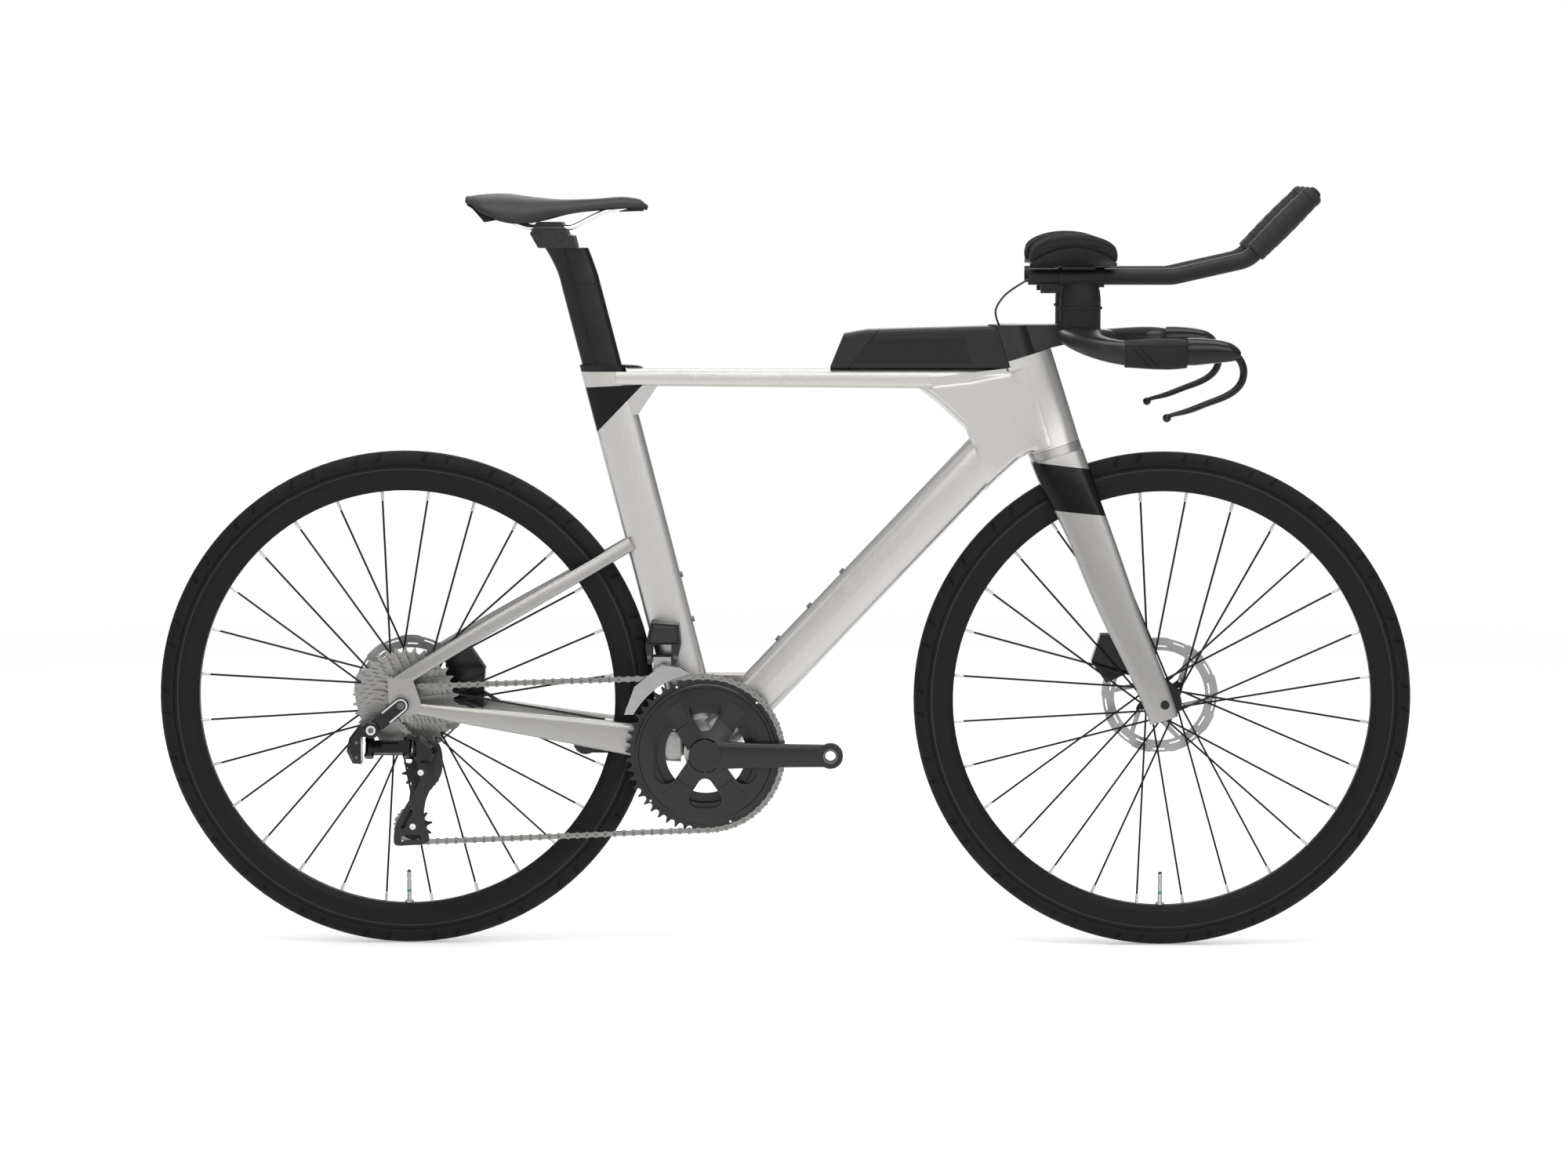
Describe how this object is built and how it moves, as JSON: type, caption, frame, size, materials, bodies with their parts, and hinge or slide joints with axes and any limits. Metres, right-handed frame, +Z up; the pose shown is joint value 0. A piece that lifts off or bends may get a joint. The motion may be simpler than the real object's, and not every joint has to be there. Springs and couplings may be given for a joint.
{
  "type": "time trial bike",
  "caption": "Aero time trial bicycle with disc brakes, base bar and forearm extensions, deep frame, spoked wheels, chain drive and electronic derailleurs, each as separate jointed pieces.",
  "frame": {"origin": "on the ground under the bike's middle plane, halfway between the axles", "axes": "+X forward along the wheelbase, +Y to the rider's left, +Z up; the drive side faces -Y"},
  "size_m": [1.71, 0.4144, 1.0361],
  "materials": {
    "frame_paint": "satin metallic silver",
    "black_carbon": "satin black",
    "gloss_black": "gloss black",
    "anodised_black": "black anodised",
    "silver_alloy": "polished",
    "steel": "brushed",
    "chrome": "polished",
    "tyre": "matte",
    "spoke_black": "black",
    "window": "smoky",
    "box_grey": "matte dark grey",
    "saddle_cover": "matte dark grey",
    "pad_foam": "matte black",
    "grip_rubber": "matte black",
    "wire_black": "black"
  },
  "bodies": {
    "frame": {"main_frame": "frame_paint", "rear_stays": "frame_paint", "seat_clamp": "black_carbon", "derailleur_hanger": "anodised_black", "headset_bearings": "steel", "bottom_bracket": "anodised_black", "bottle_cage_bolts": "anodised_black", "storage_box": "box_grey", "storage_box_windows": "window", "front_derailleur_body": "gloss_black", "rear_brake_caliper": "anodised_black", "rear_axle": "anodised_black", "rear_derailleur_bracket": "gloss_black", "chain": "steel"},
    "seat_post": {"seat_post": "black_carbon", "saddle_clamp": "anodised_black", "saddle_rails": "chrome", "saddle_shell": "black_carbon", "saddle_padding": "saddle_cover"},
    "steering": {"fork": "frame_paint", "base_bar": "black_carbon", "stem_cover": "black_carbon", "armrest_spacers": "black_carbon", "armrest_brackets": "anodised_black", "aero_extensions": "black_carbon", "arm_cups": "black_carbon", "arm_pads": "pad_foam", "extension_grips": "grip_rubber", "base_bar_grips": "black_carbon", "lever_housings": "gloss_black", "front_brake_caliper": "anodised_black", "front_axle": "anodised_black", "shifter_wire": "wire_black"},
    "brake_lever_left": {"brake_lever_left": "gloss_black"},
    "brake_lever_right": {"brake_lever_right": "gloss_black"},
    "shift_button_left": {"shift_button_left": "gloss_black"},
    "shift_button_right": {"shift_button_right": "gloss_black"},
    "front_wheel": {"front_tyre": "tyre", "front_rim": "black_carbon", "front_spokes": "spoke_black", "front_hub": "anodised_black", "front_rotor": "steel", "front_valve": "silver_alloy"},
    "rear_wheel": {"rear_tyre": "tyre", "rear_rim": "black_carbon", "rear_spokes": "spoke_black", "rear_hub": "anodised_black", "rear_rotor": "steel", "rear_valve": "silver_alloy"},
    "cassette": {"cassette": "steel"},
    "crank": {"right_crank_arm": "anodised_black", "left_crank_arm": "anodised_black", "outer_chainring": "anodised_black", "inner_chainring": "anodised_black"},
    "rear_derailleur_links": {"rear_derailleur_links": "gloss_black"},
    "rear_derailleur_knuckle": {"rear_derailleur_knuckle": "gloss_black"},
    "rear_derailleur_cage": {"rear_derailleur_cage": "anodised_black"},
    "guide_pulley": {"guide_pulley": "gloss_black"},
    "tension_pulley": {"tension_pulley": "gloss_black"},
    "front_derailleur_cage": {"front_derailleur_cage": "silver_alloy"}
  },
  "joints": [
    {"name": "steering", "type": "hinge", "parent": "frame", "child": "steering", "pos_m": [0.47311, 0, 0.32539], "axis": [-0.3024, 0, 0.9532], "range_deg": [-35, 35]},
    {"name": "seat_post_slide", "type": "slide", "parent": "frame", "child": "seat_post", "axis": [-0.2504, 0, 0.9681], "range_m": [-0.05, 0.06]},
    {"name": "front_wheel_spin", "type": "hinge", "parent": "steering", "child": "front_wheel", "pos_m": [0.516, 0, 0.339], "axis": [0, 1, 0], "continuous": true},
    {"name": "rear_wheel_spin", "type": "hinge", "parent": "frame", "child": "rear_wheel", "pos_m": [-0.516, 0, 0.339], "axis": [0, 1, 0], "continuous": true},
    {"name": "crank_spin", "type": "hinge", "parent": "frame", "child": "crank", "pos_m": [-0.106, 0, 0.269], "axis": [0, 1, 0], "continuous": true, "deforming": ["chain"]},
    {"name": "cassette_spin", "type": "hinge", "parent": "frame", "child": "cassette", "pos_m": [-0.516, -0.0614, 0.339], "axis": [0, 1, 0], "continuous": true},
    {"name": "derailleur_shift", "type": "hinge", "parent": "frame", "child": "rear_derailleur_links", "pos_m": [-0.56, -0.0776, 0.28], "axis": [0, 0.5, 0.866], "range_deg": [0, 60]},
    {"name": "derailleur_knuckle_turn", "type": "hinge", "parent": "rear_derailleur_links", "child": "rear_derailleur_knuckle", "pos_m": [-0.508, -0.0776, 0.28], "axis": [0, 0.5, 0.866], "range_deg": [-60, 0]},
    {"name": "derailleur_cage_swing", "type": "hinge", "parent": "rear_derailleur_knuckle", "child": "rear_derailleur_cage", "pos_m": [-0.487, -0.0666, 0.28], "axis": [0, 1, 0], "range_deg": [-35, 10], "stiffness_Nm_per_rad": 1.2},
    {"name": "guide_pulley_spin", "type": "hinge", "parent": "rear_derailleur_cage", "child": "guide_pulley", "pos_m": [-0.49177, -0.0614, 0.24497], "axis": [0, 1, 0], "continuous": true},
    {"name": "tension_pulley_spin", "type": "hinge", "parent": "rear_derailleur_cage", "child": "tension_pulley", "pos_m": [-0.50328, -0.0614, 0.17089], "axis": [0, 1, 0], "continuous": true},
    {"name": "front_derailleur_shift", "type": "hinge", "parent": "frame", "child": "front_derailleur_cage", "pos_m": [-0.165, -0.033, 0.4], "axis": [1, 0, 0], "range_deg": [-1, 7]},
    {"name": "left_brake_pull", "type": "hinge", "parent": "steering", "child": "brake_lever_left", "pos_m": [0.58249, 0.19, 0.822], "axis": [0, 1, 0], "range_deg": [0, 20], "stiffness_Nm_per_rad": 1, "springref_deg": -14.32},
    {"name": "right_brake_pull", "type": "hinge", "parent": "steering", "child": "brake_lever_right", "pos_m": [0.58249, -0.19, 0.822], "axis": [0, 1, 0], "range_deg": [0, 20], "stiffness_Nm_per_rad": 1, "springref_deg": -14.32},
    {"name": "left_shift_press", "type": "slide", "parent": "steering", "child": "shift_button_left", "axis": [-0.7018, 0, -0.7124], "range_m": [0, 0.0018], "stiffness_N_per_m": 600, "springref_m": -0.001},
    {"name": "right_shift_press", "type": "slide", "parent": "steering", "child": "shift_button_right", "axis": [-0.7018, 0, -0.7124], "range_m": [0, 0.0018], "stiffness_N_per_m": 600, "springref_m": -0.001}
  ],
  "couplings": [
    {"joint": "cassette_spin", "follows": "crank_spin", "ratio": 4.7273},
    {"joint": "guide_pulley_spin", "follows": "crank_spin", "ratio": -4.7273},
    {"joint": "tension_pulley_spin", "follows": "crank_spin", "ratio": 4.7273},
    {"joint": "derailleur_knuckle_turn", "follows": "derailleur_shift", "ratio": -1}
  ]
}
